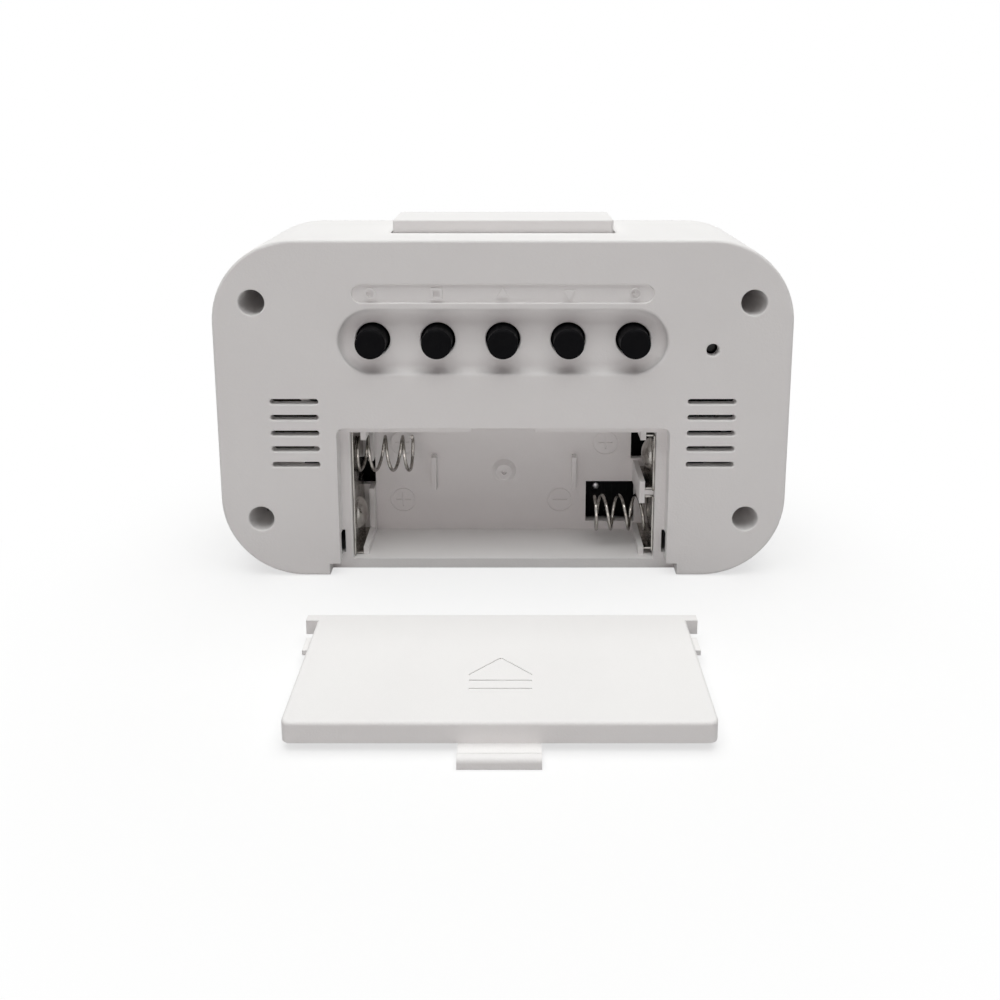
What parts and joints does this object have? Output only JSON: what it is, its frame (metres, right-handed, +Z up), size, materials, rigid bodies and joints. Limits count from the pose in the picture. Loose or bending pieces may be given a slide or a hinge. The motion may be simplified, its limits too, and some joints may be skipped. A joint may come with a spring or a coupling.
{
  "type": "digital desk clock",
  "caption": "Free-standing digital desk clock: rounded case, front display, keys in a recess at the back, snooze bar on top, battery bay with its snap-in door lying off behind it.",
  "frame": {"origin": "middle of the clock's flat underside", "axes": "+Z up, display faces -Y, keys and battery bay face +Y, X along the width"},
  "size_m": [0.1, 0.0792, 0.0633],
  "materials": {
    "white_plastic": "satin moulded white",
    "black_key": "fine matte black",
    "switch_black": "moulded black",
    "nickel": "nickel plated",
    "spring_wire": "bright nickel plated wire",
    "screw_steel": "zinc plated",
    "clear_lens": "clear polished",
    "lcd_glass": "polished",
    "light_guide": "frosted",
    "circuit_board": "black solder mask",
    "resin": "cast resin",
    "crystal_can": "drawn can",
    "zebra_rubber": "layered rubber",
    "ribbon": "flat cable",
    "buzzer_brass": "plain",
    "red_wire": "insulated wire",
    "black_wire": "insulated wire"
  },
  "bodies": {
    "clock": {"rear_case": "white_plastic", "front_bezel": "white_plastic", "display_lens": "clear_lens", "lcd_front_glass": "lcd_glass", "lcd_rear_glass": "lcd_glass", "light_guide": "light_guide", "reflector_sheet": "light_guide", "lcd_frame": "white_plastic", "zebra_strip": "zebra_rubber", "main_board": "circuit_board", "controller_blob": "resin", "quartz_crystal": "crystal_can", "backlight_leds": "light_guide", "main_board_screws": "screw_steel", "key_board": "circuit_board", "key_switch_bodies": "switch_black", "snooze_switch_body": "switch_black", "reset_switch_body": "switch_black", "key_board_screws": "screw_steel", "key_ribbon": "ribbon", "piezo_buzzer": "buzzer_brass", "buzzer_leads": "black_wire", "temperature_sensor": "resin", "bridge_contact": "nickel", "bridge_spring": "spring_wire", "positive_contact": "nickel", "negative_contact": "nickel", "negative_spring": "spring_wire", "battery_lead_red": "red_wire", "battery_lead_black": "black_wire", "case_screws": "screw_steel"},
    "mode_key": {"mode_button": "black_key", "mode_plunger": "switch_black"},
    "set_key": {"set_button": "black_key", "set_plunger": "switch_black"},
    "up_key": {"up_button": "black_key", "up_plunger": "switch_black"},
    "down_key": {"down_button": "black_key", "down_plunger": "switch_black"},
    "timer_key": {"timer_button": "black_key", "timer_plunger": "switch_black"},
    "snooze": {"snooze_bar": "white_plastic", "snooze_plunger": "switch_black"},
    "reset": {"reset_plunger": "switch_black"},
    "door": {"battery_door": "white_plastic"}
  },
  "joints": [
    {"name": "mode_press", "type": "slide", "parent": "clock", "child": "mode_key", "axis": [0, -1, 0], "range_m": [0, 0.0005], "stiffness_N_per_m": 1500, "springref_m": -0.0003},
    {"name": "set_press", "type": "slide", "parent": "clock", "child": "set_key", "axis": [0, -1, 0], "range_m": [0, 0.0005], "stiffness_N_per_m": 1500, "springref_m": -0.0003},
    {"name": "up_press", "type": "slide", "parent": "clock", "child": "up_key", "axis": [0, -1, 0], "range_m": [0, 0.0005], "stiffness_N_per_m": 1500, "springref_m": -0.0003},
    {"name": "down_press", "type": "slide", "parent": "clock", "child": "down_key", "axis": [0, -1, 0], "range_m": [0, 0.0005], "stiffness_N_per_m": 1500, "springref_m": -0.0003},
    {"name": "timer_press", "type": "slide", "parent": "clock", "child": "timer_key", "axis": [0, -1, 0], "range_m": [0, 0.0005], "stiffness_N_per_m": 1500, "springref_m": -0.0003},
    {"name": "snooze_press", "type": "slide", "parent": "clock", "child": "snooze", "axis": [0, 0, -1], "range_m": [0, 0.0008], "stiffness_N_per_m": 800, "springref_m": -0.0006},
    {"name": "reset_press", "type": "slide", "parent": "clock", "child": "reset", "axis": [0, -1, 0], "range_m": [0, 0.00025], "stiffness_N_per_m": 2000, "springref_m": -0.0002},
    {"name": "door_lift", "type": "slide", "parent": "clock", "child": "door", "axis": [0, 0, 1], "range_m": [0, 0.06]}
  ]
}
